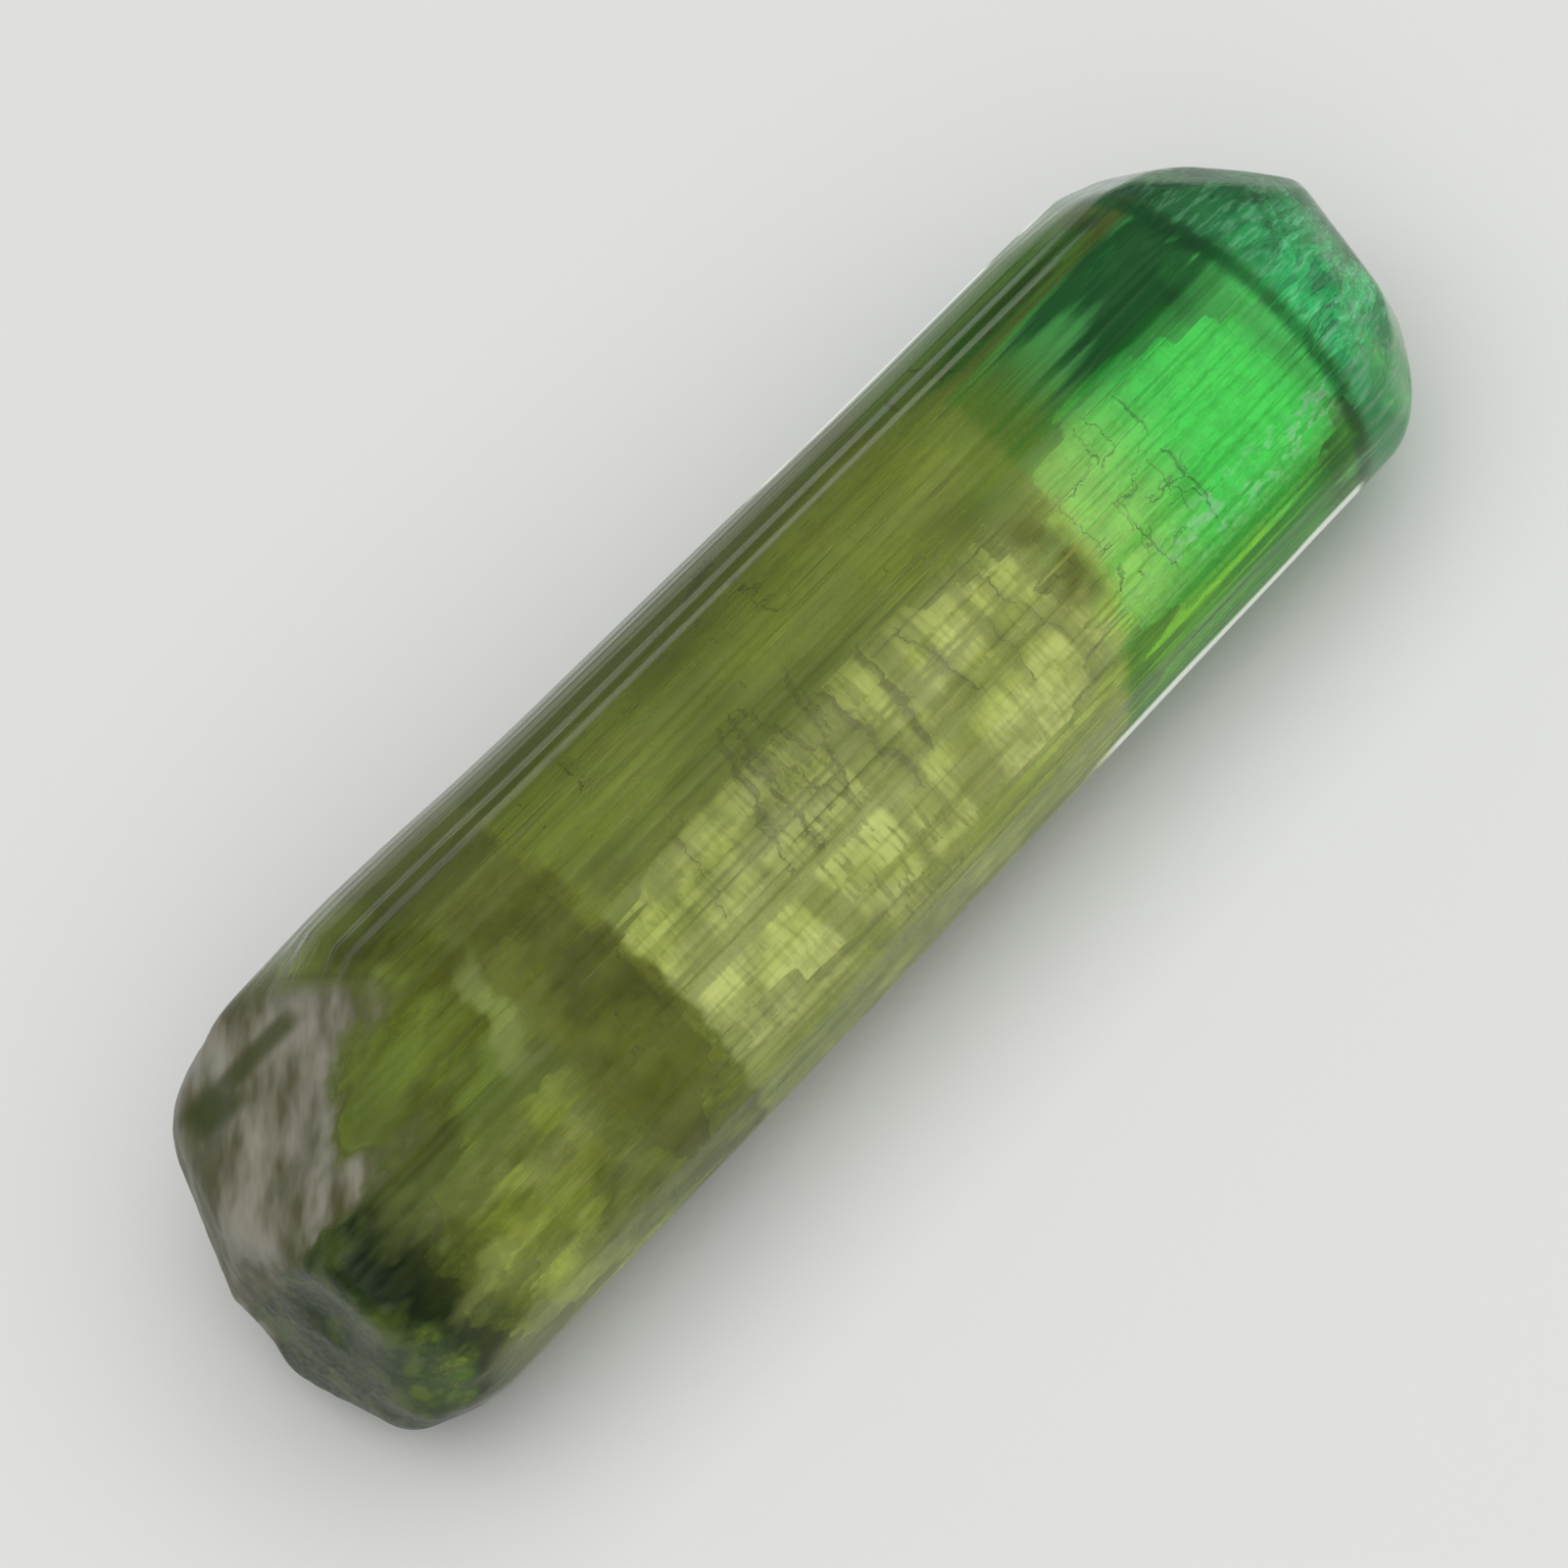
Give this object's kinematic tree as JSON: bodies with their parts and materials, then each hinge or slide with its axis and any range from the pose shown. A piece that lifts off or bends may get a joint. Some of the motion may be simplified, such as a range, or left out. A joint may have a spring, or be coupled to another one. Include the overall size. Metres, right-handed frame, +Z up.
{
  "type": "tourmaline crystal",
  "caption": "Loose bi-coloured green tourmaline prism with a ribbed rounded-triangle section, a low domed termination and a rough broken end, lying on a prism face.",
  "frame": {"origin": "under the middle of the crystal's box, on the prism face it lies on", "axes": "+X along the prism towards the termination, +Z up from the face it lies on"},
  "size_m": [0.0356, 0.0106, 0.0095],
  "materials": {
    "tourmaline": "vitreous, see-through olive to emerald green with a blue-green tip, finely striated along its length"
  },
  "bodies": {
    "root": {"tourmaline_crystal": "tourmaline"}
  },
  "joints": []
}
